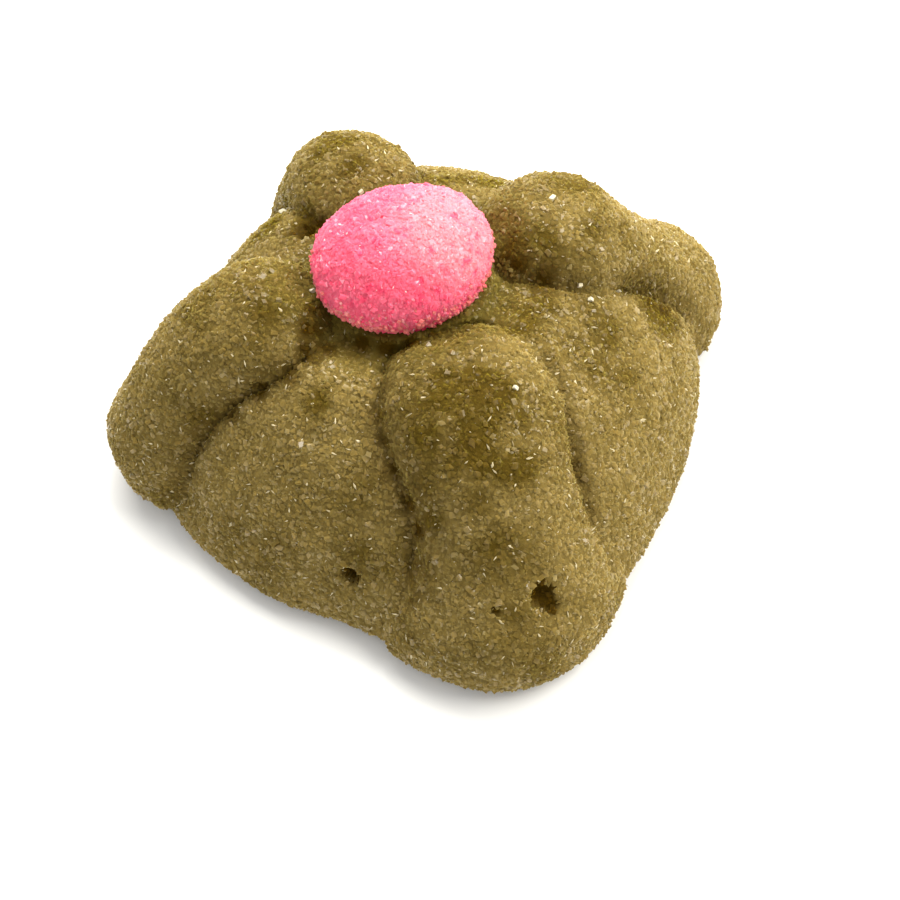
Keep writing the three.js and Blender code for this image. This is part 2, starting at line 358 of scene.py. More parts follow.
# Places where a crease is filled and the skin swells, placed as the ridges are.
swells = [
    {"at": (2.3, -6.0, 12.0), "width": 2.6, "rise": 0.35},
    {"at": (2.6, -9.6, 11.2), "width": 2.2, "rise": 0.2},
    {"at": (2.2, -17.0, 5.2), "width": 3.0, "rise": 0.5},
    {"at": (-8.7, -13.6, 1.6), "width": 2.6, "rise": 0.8},
    {"at": (-13.8, -8.6, 0.8), "width": 3.5, "rise": 0.35},
    {"at": (3.9, -16.4, 2.6), "width": 2.2, "rise": 0.4},
    {"at": (-3.9, 10.6, 9.4), "width": 3.2, "rise": 0.3},
    {"at": (9.0, -4.4, 10.8), "width": 2.4, "rise": 0.25},
]

# Burst bubbles: the near side of a small ball is cut out of the skin.
pits = [
    {"at": (-1.8, -18.0, 6.5), "radius": 0.8},
    {"at": (-1.5, -18.5, 6.0), "radius": 0.6},
    {"at": (-10.2, -11.1, 4.5), "radius": 0.58},
    {"at": (-4.1, 8.2, 10.6), "radius": 0.6},
    {"at": (-4.4, -17.6, 6.3), "radius": 0.32},
]

# The skin's own relief; the worn patches, some of which also stand for painted shade; and the
# spots where shade is painted into its colour.
relief = {
    "lumps": [(3.6, 0.13, 11), (1.5, 0.07, 12), (0.62, 0.06, 13)],  # cell, depth, seed
    "lumpyHeights": (0.3, 2.2),  # smooth below the first height, fully lumpy above the second
    "pitDepth": 0.25, "raggedDepth": 0.3,
    # cell and seed of the chance values that make pits, creases, shade and wear uneven
    "inPits": (0.5, 14), "wide": (2.6, 15), "fine": (0.9, 16), "finest": (0.8, 16),
    "wornAndShadedEdge": (1.4, 21), "wornAndShadedSpread": (2.6, 22), "shadeEdge": (1.4, 23),
    # in the knob's own radii: where the painted shade against it ends, and the pink light from it
    "closeToKnob": (1.0, 1.1), "besideKnob": (1.1, 1.75),
    "closeShade": 0.5, "closeShadeEnd": (-3.5, 1.5),  # that painted shade fades towards the right
    "footHeights": (0.5, 6.5), "footEnd": (-7.0, 0.0),  # painted shade, darker towards the floor, fading up and rightward
    # middle, width and strength of each worn patch, some also painted shade, and of each spot of painted
    # shade
    "wornAndShaded": [
        ((-0.6, -8.5, 13.2), 1.4, 1.2), ((-0.2, -9.2, 12.9), 1.2, 1.2), ((-2.5, -7.7, 13.2), 1.3, 1.1),
        ((-4.0, -7.6, 12.7), 1.3, 0.7), ((-4.6, -8.9, 12.0), 1.4, 0.7), ((-4.8, -10.1, 11.3), 1.4, 0.6),
        ((-3.6, -11.2, 11.4), 1.3, 0.5), ((-1.6, -10.2, 12.5), 1.6, 1.1), ((-2.1, -11.6, 12.0), 1.3, 0.9),
        ((-0.9, -12.7, 11.2), 1.3, 0.8), ((0.5, -10.8, 12.2), 1.0, 0.8), ((-3.3, -13.2, 10.2), 1.1, 0.5),
        ((-8.1, -9.2, 8.4), 1.2, 0.4), ((-7.8, -10.4, 7.7), 1.2, 0.4), ((-7.3, -11.8, 6.8), 1.2, 0.4),
        ((-3.9, -16.8, 7.1), 1.3, 0.25), ((-4.8, -19.0, 4.8), 1.5, 0.5),
        ((-5.4, -12.4, 8.8), 0.9, 0.7), ((-3.0, -15.0, 9.0), 1.3, 0.4), ((-3.9, -17.9, 6.2), 1.2, 0.4),
        ((-9.2, -11.3, 5.7), 1.6, 0.45), ((-13.6, 0.2, 8.8), 1.8, 0.4),
        ((-8.8, 2.0, 13.4), 2.0, 0.6), ((-10.9, 3.6, 13.0), 2.2, 0.7), ((-13.0, 1.0, 11.5), 1.6, 0.3),
        ((9.6, -1.6, 13.0), 1.7, 0.6), ((7.0, -0.8, 13.4), 1.7, 0.7), ((12.4, -1.2, 11.6), 1.4, 0.6),
        ((13.0, -5.0, 7.3), 1.6, 0.6), ((4.5, -4.4, 11.8), 2.0, 0.5), ((-8.3, -3.6, 10.9), 1.0, 0.9),
        ((7.5, -7.4, 9.9), 3.2, 0.5), ((10.2, 0.8, 13.4), 2.6, 0.5), ((8.4, 7.4, 9.4), 2.6, 0.5),
        ((5.4, 8.6, 10.2), 2.2, 0.5), ((0.4, 11.6, 12.8), 2.8, 0.75), ((-5.0, 10.8, 8.8), 2.0, 0.8),
        ((-3.8, 9.7, 10.0), 1.4, 1.0), ((-3.6, 13.4, 8.0), 1.6, 0.7),
    ],
    # spots of painted shade, where the colour is darkened as shade
    "shaded": [
        ((5.3, -0.2, 13.0), 1.0, 0.9), ((6.2, -2.4, 12.0), 1.1, 0.9), ((7.6, -3.4, 11.6), 0.8, 0.5),
        ((4.8, -0.3, 12.4), 0.9, 0.9), ((5.3, -1.2, 12.4), 1.0, 1.0), ((5.9, 0.2, 13.2), 0.9, 0.5),
        ((12.6, -3.8, 7.9), 0.6, 0.6), ((13.3, -4.2, 7.1), 0.6, 0.8), ((14.1, -4.8, 5.9), 0.6, 0.8),
        ((-6.6, 0.1, 11.6), 0.9, 1.0), ((-6.6, -0.7, 11.1), 0.9, 1.0), ((-6.6, 1.4, 12.2), 0.8, 1.0),
        ((-7.2, 0.2, 12.2), 0.8, 1.0), ((-7.6, -0.7, 11.5), 0.9, 1.0), ((-7.4, -1.3, 11.2), 0.7, 0.8),
        ((-15.2, -0.4, 6.6), 0.9, 0.45), ((-16.6, -0.8, 4.4), 0.9, 0.45),
        ((-0.8, -8.4, 13.2), 1.1, 0.32), ((-0.1, -8.8, 13.1), 1.0, 0.3), ((-2.9, -10.9, 12.1), 1.2, 0.22),
        ((-3.1, 8.2, 10.5), 1.0, 0.9), ((-4.4, 8.6, 10.4), 0.9, 0.6),
        ((-3.6, -2.6, 11.7), 0.9, 1.0), ((-4.6, -1.6, 11.5), 0.9, 0.9), ((-5.4, -0.7, 11.3), 0.8, 0.7),
        ((-2.4, -3.2, 11.8), 0.9, 1.0), ((-1.0, -3.3, 12.1), 0.9, 0.8), ((0.4, -2.9, 12.2), 0.8, 0.5),
        ((-9.1, -1.3, 10.9), 0.8, 0.9), ((-10.9, -0.9, 10.1), 0.7, 1.0), ((-12.6, -0.6, 8.8), 0.7, 0.9),
        ((-13.9, -0.5, 7.6), 0.7, 0.6), ((14.6, -4.4, 5.3), 0.8, 0.9), ((13.9, -4.0, 6.6), 0.7, 0.7),
        ((-5.6, -6.1, 10.8), 0.8, 0.9), ((-5.9, -7.3, 10.2), 0.8, 0.9), ((-6.2, -8.7, 9.4), 0.8, 0.9),
        ((-6.1, -10.3, 8.5), 0.9, 1.0), ((-6.0, -11.8, 7.6), 0.9, 1.0), ((-6.0, -13.1, 6.3), 0.9, 1.0),
        ((-6.3, -14.4, 5.2), 0.8, 0.7), ((-7.2, -13.2, 5.2), 0.6, 0.8), ((-7.6, -13.9, 4.7), 0.6, 0.8),
        ((-8.4, -15.4, 3.4), 0.4, 0.6),
    ],
}


def moundReach(ray, mound):
    # distance to a mound whose plan is a squarish oval, |u|^n + |v|^n = 1 with u and v at 45
    # degrees, and whose profile is half an ellipse standing on the floor
    u = np.abs(ray[..., 0] + ray[..., 1]) / math.sqrt(2)
    v = np.abs(ray[..., 0] - ray[..., 1]) / math.sqrt(2)
    n = mound["squareness"]
    plan = (u ** n + v ** n) ** (1 / n) / mound["reach"]
    rise = ray[..., 2] / mound["height"]
    start = sweet["core"][2] / mound["height"]
    a = plan ** 2 + rise ** 2
    b = rise * start
    return (-b + np.sqrt(b * b + a * (1 - start ** 2))) / a


def ridgeReach(ray, ridge):
    # distance to the far side of a row of flattened balls along an arched, swayed line; the
    # cover is how deep inside the row the ray runs, and 0 where it misses
    head = np.array(ridge["head"])
    run = np.array(ridge["foot"]) - head
    aside = np.array([-run[1], run[0], 0]) / np.hypot(run[0], run[1])
    headRadius, waistRadius, footRadius = ridge["radii"]
    reach = np.full(ray.shape[:-1], -1e3)
    cover = np.zeros(ray.shape[:-1])
    level = ray[..., 0] ** 2 + ray[..., 1] ** 2
    for s in np.linspace(0, 1, sweet["beadsPerRidge"]):
        bow = 4 * s * (1 - s)
        x, y, z = head + run * s + aside * ridge["sway"] * bow
        z += ridge["arch"] * bow - sweet["core"][2]
        wide = (headRadius * (1 - s) + footRadius * s) * (1 - bow) + waistRadius * bow
        tall = wide * ridge["flatness"]
        a = level / wide ** 2 + (ray[..., 2] / tall) ** 2
        b = (ray[..., 0] * x + ray[..., 1] * y) / wide ** 2 + ray[..., 2] * z / tall ** 2
        room = b * b - a * ((x * x + y * y) / wide ** 2 + (z / tall) ** 2 - 1)
        hit = (b + np.sqrt(np.maximum(room, 0))) / a
        reach = np.maximum(reach, np.where(room > 0, hit, -1e3))
        cover = np.maximum(cover, room / a)
    return reach, cover


def seatReach(ray):
    # a level plane under the knob that turns up as the square of the distance past its rim
    up = np.maximum(ray[..., 2], 0.05)
    flat = (sweet["seatHeight"] - sweet["core"][2]) / up
    x = flat * ray[..., 0] - knob["middle"][0]
    y = flat * ray[..., 1] - knob["middle"][1]
    rim = np.maximum(np.hypot(x, y) - sweet["seatRadius"], 0)
    return flat + sweet["seatRimRise"] * rim * rim / up


def undersideReach(ray):
    # the underside is flat in its middle; its rim touches the floor at the four feet and rises
    # a hair between them, by the rim's share times the squared sine of twice the turn
    down = np.maximum(-ray[..., 2], 1e-3)
    out = sweet["core"][2] * np.hypot(ray[..., 0], ray[..., 1]) / down
    rim = np.clip((out - sweet["rimStart"]) / sweet["rimWidth"], 0, 1)
    betweenFeet = np.sin(2 * np.arctan2(ray[..., 1], ray[..., 0])) ** 2
    reach = (sweet["core"][2] - sweet["rimRise"] * rim * betweenFeet) / down
    return np.where(ray[..., 2] < -1e-3, reach, 1e3)


def cutPits(ray, reach):
    # a ray is inside a pit's ball within sqrt(r^2 - d^2) of its nearest point to the middle,
    # with d its distance from the middle; skin in there is moved back to where the ray enters
    pitted = np.zeros(reach.shape)
    for pit in pits:
        at = np.array(pit["at"]) - np.array([0, 0, sweet["core"][2]])
        along = ray @ at
        room = along ** 2 - (at @ at - pit["radius"] ** 2)
        entry = along - np.sqrt(np.maximum(room, 0))
        inside = (room > 0) & (entry < reach) & (reach < along + np.sqrt(np.maximum(room, 0)))
        pitted = np.where(inside, 1.0, pitted)
        reach = np.where(inside, entry, reach)
    return reach, pitted


def sweetSkin(ray):
    # distance along each ray: the softened larger of dome, skirt and ridges, with the swells,
    # less the moat, creases and tuck; the other values say how much shade is painted into the
    # creases and moat, and how creased it is
    dome = moundReach(ray, sweet["dome"])
    reach = softMax(dome, moundReach(ray, sweet["skirt"]), sweet["skirtBlend"])
    x = reach * ray[..., 0] - knob["middle"][0]
    y = reach * ray[..., 1] - knob["middle"][1]
    ring = bell(np.hypot(x, y) - sweet["moatRadius"], sweet["moatWidth"])
    moat = np.clip(ray[..., 2] * 3, 0, 1) * ring
    reach = reach - sweet["moatDepth"] * moat

    ridgeTop = np.full(reach.shape, -1e3)
    cover = np.zeros(reach.shape)
    for ridge in ridges.values():
        hit, held = ridgeReach(ray, ridge)
        ridgeTop = np.maximum(ridgeTop, hit)
        cover = np.maximum(cover, held)
    low = np.clip(1 - (sweet["core"][2] + reach * ray[..., 2]) / sweet["fadingHeight"], 0, 1)
    blend = sweet["ridgeBlend"] + (sweet["ridgeBlendAtFloor"] - sweet["ridgeBlend"]) * low
    gap = ridgeTop - reach
    reach = softMax(reach, np.maximum(ridgeTop, reach - sweet["ridgeBlendAtFloor"]), blend)
    place = ray * reach[..., None] + np.array([0, 0, sweet["core"][2]])
    unfilled = 1 - low
    for swell in swells:
        near = bell(np.linalg.norm(place - np.array(swell["at"]), axis=-1), swell["width"])
        unfilled = np.minimum(unfilled, 1 - near)
        reach = reach + swell["rise"] * near
    nearRidge = np.clip(cover / sweet["shoulderFullCover"], 0, 1)
    creased = unfilled * bell(gap, sweet["creaseWidth"])
    reach = reach - sweet["creaseDepth"] * creased
    shoulder = unfilled * nearRidge * bell(gap, sweet["shoulderWidth"])
    reach = reach - sweet["shoulderDepth"] * shoulder

    tucked = np.clip(1 - (sweet["core"][2] + reach * ray[..., 2]) / sweet["tuckHeight"], 0, 1)
    reach = reach - sweet["tuckDepth"] * tucked ** 2
    # painted shade: creases and the moat darkened in colour, for the finishes to read
    creaseShade = sweet["creaseShade"] * bell(gap, 2 * sweet["creaseWidth"]) * unfilled
    hollowShade = np.maximum(creaseShade, sweet["moatShade"] * moat * (cover < sweet["moatCover"]))
    return reach, hollowShade, creased


def knobRadii(place):
    # how far places from the core lie from the knob's axis: 1 on its edge, seen from above
    x = (place[..., 0] - knob["middle"][0]) / knob["halfWidth"]
    y = (place[..., 1] - knob["middle"][1]) / knob["halfDepth"]
    return np.hypot(x, y)


def patches(place, spots):
    # the largest of the bells round the spots
    found = np.zeros(place.shape[:-1])
    for middle, width, strength in spots:
        near = bell(np.linalg.norm(place - np.array(middle), axis=-1), width)
        found = np.maximum(found, strength * near)
    return found


def roughenedSkin(ray):
    # the smooth skin with ragged creases and lumps of several sizes, fading out towards the
    # floor, then cut by the pits, the seat and the underside; and the marks that the finishes
    # read: how worn it is, some patches also painted shade, how much shade is painted into its
    # hollows, whether it is pitted, how near the foot on the left, which is painted darker as
    # shade, and how near the knob
    reach, hollowShade, creased = sweetSkin(ray)
    place = ray * reach[..., None] + np.array([0, 0, sweet["core"][2]])
    wide = rumple(place, *relief["wide"])
    reach = reach - relief["raggedDepth"] * (wide + 0.7 * rumple(place, *relief["fine"])) * creased
    hollowShade = np.clip(hollowShade * (1 + 0.5 * wide + 0.4 * rumple(place, *relief["finest"])), 0, 1)
    height = easeStep(place[..., 2], *relief["lumpyHeights"])
    for cell, depth, seed in relief["lumps"]:
        reach = reach + depth * height * rumple(place, cell, seed)
    reach, pitted = cutPits(ray, reach)
    reach = reach + relief["pitDepth"] * pitted * rumple(place, *relief["inPits"])
    reach = np.minimum(reach, seatReach(ray))
    edge = sweet["undersideEdge"]
    reach = softMin(reach, np.minimum(undersideReach(ray), reach + edge), edge)

    # worn patches, some of them also painted shade that darkens parts lit too brightly
    wornAndShaded = patches(place, relief["wornAndShaded"]) * (1 + 0.7 * rumple(place, *relief["wornAndShadedEdge"]))
    wornAndShaded = np.clip(wornAndShaded + 0.25 * rumple(place, *relief["wornAndShadedSpread"]), 0, 1)
    # painted shade in the listed spots; pits and creases get it too
    shaded = patches(place, relief["shaded"]) * (1 + 0.3 * rumple(place, *relief["shadeEdge"]))
    hollowShade = np.maximum(np.maximum(hollowShade, pitted), shaded)
    fromKnob = knobRadii(place)
    # painted shade round the knob's base, fading towards the right
    leftward = 1 - easeStep(place[..., 0], *relief["closeShadeEnd"])
    close = 1 - easeStep(fromKnob, *relief["closeToKnob"])
    hollowShade = np.clip(np.maximum(hollowShade, relief["closeShade"] * leftward * close), 0, 1)
    beside = 1 - easeStep(fromKnob, *relief["besideKnob"])
    # painted shade: darker towards the floor on the left
    low = 1 - easeStep(place[..., 2], *relief["footHeights"])
    foot = low * (1 - easeStep(place[..., 0], *relief["footEnd"]))
    marks = {"wornAndShaded": wornAndShaded, "hollowShade": hollowShade, "pitted": pitted, "foot": foot, "beside": beside}
    return ray * reach[..., None] + np.array(sweet["core"]), marks


def makeSweet(material):
    # finely divided where it is seen, coarsely underneath
    shown = np.linspace(0, sweet["shownPolar"], sweet["rows"])
    below = np.linspace(sweet["shownPolar"], math.pi, sweet["rowsBelow"] + 1)[1:]
    ray = rayGrid(sweet["columns"], np.concatenate([shown, below]))
    points, marks = roughenedSkin(ray)
    poles, poleMarks = roughenedSkin(np.array([[0, 0, 1.0], [0, 0, -1.0]]))
    allPoints = np.concatenate([points.reshape(-1, 3), poles])
    allMarks = {name: np.concatenate([marks[name].ravel(), poleMarks[name]]) for name in marks}
    triangles = gridTriangles(*points.shape[:2])
    piece = meshPiece("brown_sweet", allPoints, triangles, material, True, allMarks)
    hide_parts("gummy_body")
    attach(piece, "root")
    print("brown sweet made:", len(triangles), "triangles")
    return points, marks


# ---- the pink knob

def knobSkin(ray):
    # a squat ball with lumps, no lower than the seat, and marks for its clear foot and for
    # the painted light on its side that faces the right lamp
    half = np.array([knob["halfWidth"], knob["halfDepth"], knob["halfHeight"]])
    middle = np.array(knob["middle"]) + np.array([sweet["core"][0], sweet["core"][1], 0])
    place = ray * half
    shifted = place + knob["chanceShift"]
    swell = knob["lumpDepth"] * rumple(shifted, knob["lumpCell"], 31)
    swell = swell + knob["crustDepth"] * rumple(shifted, knob["crustCell"], 32)
    points = place + middle + ray * swell[..., None]
    points[..., 2] = np.maximum(points[..., 2], sweet["seatHeight"])
    low = 1 - easeStep(points[..., 2], sweet["seatHeight"], sweet["seatHeight"] + knob["footTop"])
    # painted light: paler towards the side that faces the right lamp
    litPale = easeStep(ray @ np.array(knob["litPaleSide"]), *knob["litPaleSpan"])
    return points, {"low": low, "litPale": litPale}


def makeKnob(material):
    # the whole ball, closed where it lies flat on the seat
    ray = rayGrid(knob["columns"], np.linspace(0, math.pi, knob["rows"]))
    points, marks = knobSkin(ray)
    poles, poleMarks = knobSkin(np.array([[0, 0, 1.0], [0, 0, -1.0]]))
    allPoints = np.concatenate([points.reshape(-1, 3), poles])
    allMarks = {name: np.concatenate([marks[name].ravel(), poleMarks[name]]) for name in marks}
    triangles = gridTriangles(*points.shape[:2])
    piece = meshPiece("pink_cap", allPoints, triangles, material, True, allMarks)
    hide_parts("pink_knob")
    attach(piece, "root")
    print("pink knob made:", len(triangles), "triangles")
    return points, marks


# ---- the sugar

# Each kind is one joined mesh: what it lies on (the sweet, the knob or the knob's lower rim),
# its count, its smallest and largest grain in mm, and how far the grains' middles lie above the
# skin, as a share of their size, from least to most. A kind with places of its own has them in
# "at", and "pick" narrows how clear its grains are.
sugarKinds = {
    "body_sugar_a": {"on": "sweet", "shape": "nub", "count": 15500, "size": (0.18, 0.34),
                     "lift": (-0.4, -0.08), "seed": 1},
    "body_sugar_b": {"on": "sweet", "shape": "nub", "count": 15500, "size": (0.18, 0.34),
                     "lift": (-0.4, -0.08), "seed": 2},
    "body_crystals_a": {"on": "sweet", "shape": "crystal", "count": 3400, "size": (0.24, 0.44),
                        "lift": (-0.35, -0.1), "seed": 3},
    "body_crystals_b": {"on": "sweet", "shape": "crystal", "count": 3400, "size": (0.24, 0.44),
                        "lift": (-0.35, -0.1), "seed": 4},
    "body_crumbs": {"on": "sweet", "shape": "crumb", "count": 12000, "size": (0.12, 0.22),
                    "lift": (-0.15, 0.1), "seed": 6},
    "body_splinters": {"on": "sweet", "shape": "splinter", "count": 3800, "size": (0.13, 0.42),
                       "lift": (-0.02, 0.16), "seed": 9},
    "knob_sugar": {"on": "knob", "shape": "nub", "count": 4200, "size": (0.18, 0.3),
                   "lift": (-0.42, -0.12), "seed": 5},
    "knob_crystals": {"on": "knob", "shape": "crystal", "count": 420, "size": (0.22, 0.36),
                      "lift": (-0.3, 0.0), "seed": 8},
    "knob_crumbs": {"on": "knob", "shape": "crumb", "count": 3500, "size": (0.12, 0.2),
                    "lift": (-0.15, 0.15), "seed": 7},
    "knob_splinters": {"on": "knob", "shape": "splinter", "count": 130, "size": (0.13, 0.32),
                       "lift": (0.0, 0.15), "seed": 10},
    "knob_fringe": {"on": "rim", "shape": "crystal", "count": 900, "size": (0.12, 0.28),
                    "lift": (-0.35, 0.6), "seed": 11},
    "clear_crystals": {"on": "sweet", "shape": "block", "count": 9, "size": (0.28, 0.42),
                       "lift": (0.05, 0.2), "seed": 12, "pick": (0.75, 1.0),
                       "at": [(-0.5, 8.1, 12.3), (8.7, 1.1, 13.9), (1.1, -9.1, 12.7),
                              (8.0, -3.5, 11.5), (-5.9, 2.6, 12.1), (10.7, -3.5, 9.5),
                              (-1.7, -4.1, 12.4), (8.2, -4.3, 10.7), (-4.4, 12.2, 9.0)]},
}

# chamfer is the share of a crystal's half side that is cut at its edges; skinShading is how
# far a grain is shaded like the skin below it, as cloudy sugar is; wetness is its coat
grain = {
    "chamfer": 0.34, "slant": 0.22, "unevenness": 0.05, "crumbReach": 0.62,
    "smallness": 1.4,  # the power of the chance value that picks a size: above 1, more are small
    "floorGap": 0.02,  # no grain reaches lower
    "floorHeights": (0.05, 0.5),  # no grain below the first height, all above the second
    "knobCover": (0.86, 0.92),  # none nearer the knob's axis than the first, its edge being 1
    # the share of grains that each mark takes away
    "thinned": {"pitted": 0.6, "wornAndShaded": 0.4, "hollowShade": 0.5},
    "skinShading": {"crystal": 0.45, "nub": 0.8, "crumb": 0.7, "splinter": 0.5, "block": 0.0},
    "wetness": {"crystal": 1.0, "nub": 0.5, "crumb": 0.0, "splinter": 0.6, "block": 1.5},
    # the least and most of a grain's middle and shortest sides, as shares of its longest
    "sides": {"crystal": (0.7, 1.0, 0.5, 0.85), "nub": (0.7, 1.0, 0.5, 0.85),
              "crumb": (0.7, 1.0, 0.5, 0.85), "splinter": (0.22, 0.4, 0.18, 0.3),
              "block": (0.7, 1.0, 0.6, 0.9)},
}


def crystalShape():
    # a block with all edges and corners cut: each of its 8 corners has 3 points, one on each
    # side of the block, and each point faces the way its side does
    bits = np.array(list(np.ndindex(2, 2, 2)))
    sign = 2 * bits - 1
    inset = 1 - grain["chamfer"]
    points = sign[:, None] * np.where(np.eye(3) == 1, 1, inset)
    facing = sign[:, None] * np.eye(3)
    number = np.arange(24).reshape(2, 2, 2, 3)
    triangles = [number.reshape(8, 3)]
    for axis in range(3):
        byAxis = np.moveaxis(number, axis, 0)
        side, after = (axis + 1) % 3, (axis + 2) % 3
        for level in (0, 1):
            square = byAxis[level, ..., axis].ravel()[[0, 1, 3, 2]]
            triangles.append(square[[[0, 1, 2], [0, 2, 3]]])
        near, far = byAxis[0].reshape(4, 3), byAxis[1].reshape(4, 3)
        triangles.append(np.stack([near[:, side], far[:, side], far[:, after]], axis=-1))
        triangles.append(np.stack([near[:, side], far[:, after], near[:, after]], axis=-1))
    return points.reshape(24, 3) * 0.5, facing.reshape(24, 3), np.concatenate(triangles)


def crumbShape():
    # eight triangles between six points
    points = np.concatenate([np.eye(3), -np.eye(3)])
    bits = np.array(list(np.ndindex(2, 2, 2)))
    return points * grain["crumbReach"], points, bits * 3 + np.arange(3)


def nubShape():
    # a block with its corners shaded round
    bits = np.array(list(np.ndindex(2, 2, 2)))
    number = np.arange(8).reshape(2, 2, 2)
    squares = [np.moveaxis(number, axis, 0)[level].ravel()[[0, 1, 3, 2]]
               for axis in range(3) for level in (0, 1)]
    triangles = np.concatenate([square[[[0, 1, 2], [0, 2, 3]]] for square in squares])
    return bits - 0.5, (2 * bits - 1) / math.sqrt(3), triangles


# a splinter is a stretched crumb and a block is a large crystal, both of clear sugar
shapes = {"crystal": crystalShape, "nub": nubShape, "crumb": crumbShape, "splinter": crumbShape,
          "block": crystalShape}

# the inverse of 1.32471796 and its square, whose multiples spread evenly over a square
evenSteps = (0.7548776662, 0.5698402910)


def turnedOut(points, triangles):
    # turns round the triangles that face the middle of a shape
    a, b, c = (points[triangles[:, corner]] for corner in range(3))
    inward = np.sum(np.cross(b - a, c - a) * (a + b + c), axis=-1) < 0
    return np.where(inward[:, None], triangles[:, ::-1], triangles)


def sugarSites(points, weights, count, chance):
    # places spread evenly by weighted area: an even two-number sequence picks the row by the
    # rows' summed areas and the column by the areas within that row, short of the next row's
    # first, and each place is then moved at random within its cell
    normals = gridNormals(points)
    down = points[1:] - points[:-1]
    along = np.roll(points, -1, axis=1) - points
    area = np.linalg.norm(np.cross(down, along[:-1]), axis=-1) * weights[:-1]
    rowShare = np.cumsum(area.sum(axis=1))
    rowShare = rowShare / rowShare[-1]
    columnShare = np.cumsum(area, axis=1)
    columnShare = columnShare / np.maximum(columnShare[:, -1:], 1e-12)
    spread = 0.5 / math.sqrt(count)
    index = np.arange(count)
    first = (0.5 + index * evenSteps[0] + chance.uniform(-spread, spread, count)) % 1
    second = (0.5 + index * evenSteps[1] + chance.uniform(-spread, spread, count)) % 1
    row = np.minimum(np.searchsorted(rowShare, first), len(area) - 1)
    flat = (columnShare + np.arange(len(area))[:, None]).ravel()
    column = np.searchsorted(flat, row + second * 0.999999) - row * points.shape[1]
    column = np.clip(column, 0, points.shape[1] - 1)
    beside = (column + 1) % points.shape[1]
    s = chance.uniform(0, 1, (count, 1))
    t = chance.uniform(0, 1, (count, 1))
    upper = points[row, column] * (1 - s) + points[row, beside] * s
    lower = points[row + 1, column] * (1 - s) + points[row + 1, beside] * s
    return upper * (1 - t) + lower * t, normals[row, column], (row, column)


def chosenSites(points, places):
    # the skin's grid points nearest to the chosen places, which are given as the ridges are
    fromCore = points - np.array([sweet["core"][0], sweet["core"][1], 0])
    nearest = [np.argmin(np.linalg.norm(fromCore - np.array(place), axis=-1)) for place in places]
    cell = np.unravel_index(nearest, points.shape[:2])
    return points[cell], gridNormals(points)[cell], cell


def turnsAtRandom(count, chance):
    # turning matrices from four normal numbers each, taken as a unit quaternion
    w, x, y, z = np.moveaxis(chance.normal(size=(count, 4)), 1, 0)
    size = np.sqrt(w * w + x * x + y * y + z * z)
    w, x, y, z = w / size, x / size, y / size, z / size
    rows = [
        [1 - 2 * (y * y + z * z), 2 * (x * y - z * w), 2 * (x * z + y * w)],
        [2 * (x * y + z * w), 1 - 2 * (x * x + z * z), 2 * (y * z - x * w)],
        [2 * (x * z - y * w), 2 * (y * z + x * w), 1 - 2 * (x * x + y * y)],
    ]
    return np.moveaxis(np.array(rows), 2, 0)


def makeSugar(name, kind, points, marks, weights, material):
    # each grain is its shape stretched to three sizes, slanted, turned, and set on the skin at
    # its site; its normals follow its stretched and turned sides, leaning to the skin's
    chance = np.random.default_rng(kind["seed"])
    count = kind["count"]
    if "at" in kind:
        place, normal, cell = chosenSites(points, kind["at"])
    else:
        place, normal, cell = sugarSites(points, weights, count, chance)
    shape, facing, triangles = shapes[kind["shape"]]()
    triangles = turnedOut(shape, triangles)
    smallest, largest = kind["size"]
    size = smallest + (largest - smallest) * chance.uniform(0, 1, count) ** grain["smallness"]
    least, most, flattest, thickest = grain["sides"][kind["shape"]]
    middle = size * chance.uniform(least, most, count)
    sides = np.stack([size, middle, size * chance.uniform(flattest, thickest, count)], axis=-1)
    slant = chance.uniform(-grain["slant"], grain["slant"], (count, 3, 3))
    slanted = np.eye(3) + slant * (1 - np.eye(3))
    turn = turnsAtRandom(count, chance) @ (slanted * sides[:, None])
    uneven = chance.uniform(-grain["unevenness"], grain["unevenness"], (count, len(shape), 3))
    loose = np.einsum("nij,nkj->nki", turn, shape + uneven)
    lean = np.einsum("nji,nkj->nki", np.linalg.inv(turn), np.broadcast_to(facing, loose.shape))
    lean = lean / np.linalg.norm(lean, axis=-1, keepdims=True)
    towards = grain["skinShading"][kind["shape"]]
    lean = lean * (1 - towards) + normal[:, None] * towards
    lift = size * chance.uniform(*kind["lift"], count)
    grains = loose + (place + normal * lift[:, None])[:, None]
    grains[..., 2] = np.maximum(grains[..., 2], grain["floorGap"])
    step = np.arange(count)[:, None, None] * len(shape)
    allTriangles = (triangles + step).reshape(-1, 3)
    each = {"pick": chance.uniform(*kind.get("pick", (0, 1)), count)}
    each.update({label: values[cell] for label, values in marks.items()})
    spread = {label: np.repeat(values, len(shape)) for label, values in each.items()}
    piece = meshPiece(name, grains.reshape(-1, 3), allTriangles, material, True, spread)
    piece.data.normals_split_custom_set_from_vertices(lean.reshape(-1, 3).tolist())
    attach(piece, "root")
    print(name, "made:", len(allTriangles), "triangles")


# ---- finishes

